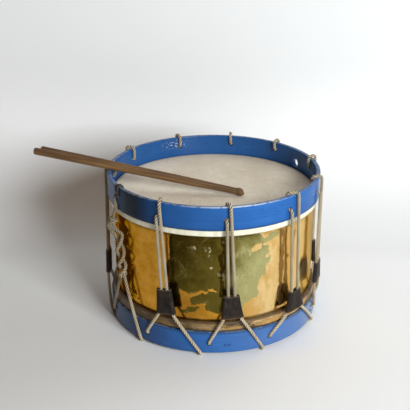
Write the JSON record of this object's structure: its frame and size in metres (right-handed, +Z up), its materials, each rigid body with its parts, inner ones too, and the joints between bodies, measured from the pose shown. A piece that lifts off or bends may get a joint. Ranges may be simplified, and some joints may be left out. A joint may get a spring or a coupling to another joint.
{
  "type": "rope-tensioned side drum",
  "caption": "Field drum with a rolled brass shell, painted wooden counterhoops, skin heads, cord lacing with leather tugs, a twist of spare cord and a pair of wooden sticks.",
  "frame": {"origin": "on the floor, under the centre of the whole outline, sticks included", "axes": "+Z up along the drum's own axis, +X along the outline's longest way, from the sticks' butts towards the drum, -Y the front with the twisted spare cord at its left"},
  "size_m": [0.5442, 0.4205, 0.3246],
  "materials": {
    "brass_shell": "polished, dented, with olive tarnish",
    "iron_wire": "dull drawn wire",
    "iron_nail": "dark, lightly rusted",
    "calfskin": "smooth mottled rawhide",
    "worn_skin": "worn brown rawhide",
    "ash_wood": "plain bent ash",
    "blue_paint": "glossy blue paint over bent wood, worn at the edges",
    "hemp_cord": "laid hemp cord, greyed",
    "dark_leather": "dark, dry and creased",
    "gut": "twisted gut, waxy",
    "stick_wood": "turned hardwood, oiled dark brown"
  },
  "bodies": {
    "drum": {"shell": "brass_shell", "top_edge_wire": "iron_wire", "bottom_edge_wire": "iron_wire", "batter_skin": "calfskin", "snare_skin": "worn_skin", "top_flesh_hoop": "ash_wood", "bottom_flesh_hoop": "ash_wood", "top_counterhoop": "blue_paint", "bottom_counterhoop": "blue_paint", "lacing_rope": "hemp_cord", "spare_cord": "hemp_cord", "rim_strap": "dark_leather", "rim_strap_rivet": "iron_nail", "bottom_hoop_nail_1": "iron_nail", "bottom_hoop_nail_2": "iron_nail", "bottom_hoop_nail_3": "iron_nail", "top_hoop_nail_1": "iron_nail", "top_hoop_nail_2": "iron_nail", "top_hoop_nail_3": "iron_nail", "snare_gut_1": "gut", "snare_gut_2": "gut"},
    "tug_01": {"tug_01": "dark_leather"},
    "tug_02": {"tug_02": "dark_leather"},
    "tug_03": {"tug_03": "dark_leather"},
    "tug_04": {"tug_04": "dark_leather"},
    "tug_05": {"tug_05": "dark_leather"},
    "tug_06": {"tug_06": "dark_leather"},
    "tug_07": {"tug_07": "dark_leather"},
    "tug_08": {"tug_08": "dark_leather"},
    "tug_09": {"tug_09": "dark_leather"},
    "tug_10": {"tug_10": "dark_leather"},
    "near_stick": {"near_stick": "stick_wood"},
    "far_stick": {"far_stick": "stick_wood"}
  },
  "joints": [
    {"name": "tug_01_slide", "type": "slide", "parent": "drum", "child": "tug_01", "axis": [-0.0708, 0.034, 0.9969], "range_m": [0, 0.103]},
    {"name": "tug_02_slide", "type": "slide", "parent": "drum", "child": "tug_02", "axis": [-0.0465, -0.0068, 0.9989], "range_m": [0, 0.107]},
    {"name": "tug_03_slide", "type": "slide", "parent": "drum", "child": "tug_03", "axis": [-0.0316, -0.0313, 0.999], "range_m": [0, 0.125]},
    {"name": "tug_04_slide", "type": "slide", "parent": "drum", "child": "tug_04", "axis": [0.0057, 0.0175, 0.9998], "range_m": [0, 0.105]},
    {"name": "tug_05_slide", "type": "slide", "parent": "drum", "child": "tug_05", "axis": [0.0056, -0.0203, 0.9998], "range_m": [0, 0.113]},
    {"name": "tug_06_slide", "type": "slide", "parent": "drum", "child": "tug_06", "axis": [-0.0164, 0.014, 0.9998], "range_m": [0, 0.107]},
    {"name": "tug_07_slide", "type": "slide", "parent": "drum", "child": "tug_07", "axis": [0, 0, 1], "range_m": [0, 0.107]},
    {"name": "tug_08_slide", "type": "slide", "parent": "drum", "child": "tug_08", "axis": [0.0192, 0.0081, 0.9998], "range_m": [0, 0.114]},
    {"name": "tug_09_slide", "type": "slide", "parent": "drum", "child": "tug_09", "axis": [-0.0116, -0.0182, 0.9998], "range_m": [0, 0.111]},
    {"name": "tug_10_slide", "type": "slide", "parent": "drum", "child": "tug_10", "axis": [0.0025, 0.0839, 0.9965], "range_m": [0, 0.113]},
    {"name": "near_stick_lift", "type": "slide", "parent": "drum", "child": "near_stick", "axis": [0, 0, 1], "range_m": [0, 0.15]},
    {"name": "far_stick_lift", "type": "slide", "parent": "drum", "child": "far_stick", "axis": [0, 0, 1], "range_m": [0, 0.15]}
  ]
}
